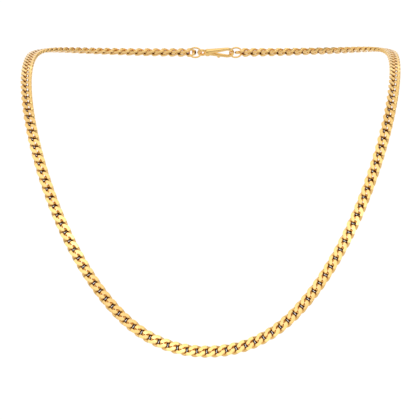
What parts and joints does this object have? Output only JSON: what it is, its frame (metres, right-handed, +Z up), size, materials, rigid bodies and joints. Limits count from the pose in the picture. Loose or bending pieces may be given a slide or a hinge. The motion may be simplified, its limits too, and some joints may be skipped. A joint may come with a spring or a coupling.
{
  "type": "curb chain necklace",
  "caption": "Flat curb chain necklace of twisted oval links in worn form, closed behind the neck by a hook clasp and two rings.",
  "frame": {"origin": "inside of the clasp at the middle of the nape, where the back of the neck holds the necklace", "axes": "+X across the wearer towards the right of the picture, -Y towards the front of the wearer, +Z up"},
  "size_m": [0.1464, 0.1261, 0.1212],
  "materials": {
    "yellow_gold": "polished"
  },
  "bodies": {
    "root": {"chain_left": "yellow_gold", "chain_right": "yellow_gold", "clasp_ring": "yellow_gold", "end_ring": "yellow_gold", "clasp": "yellow_gold"}
  },
  "joints": []
}
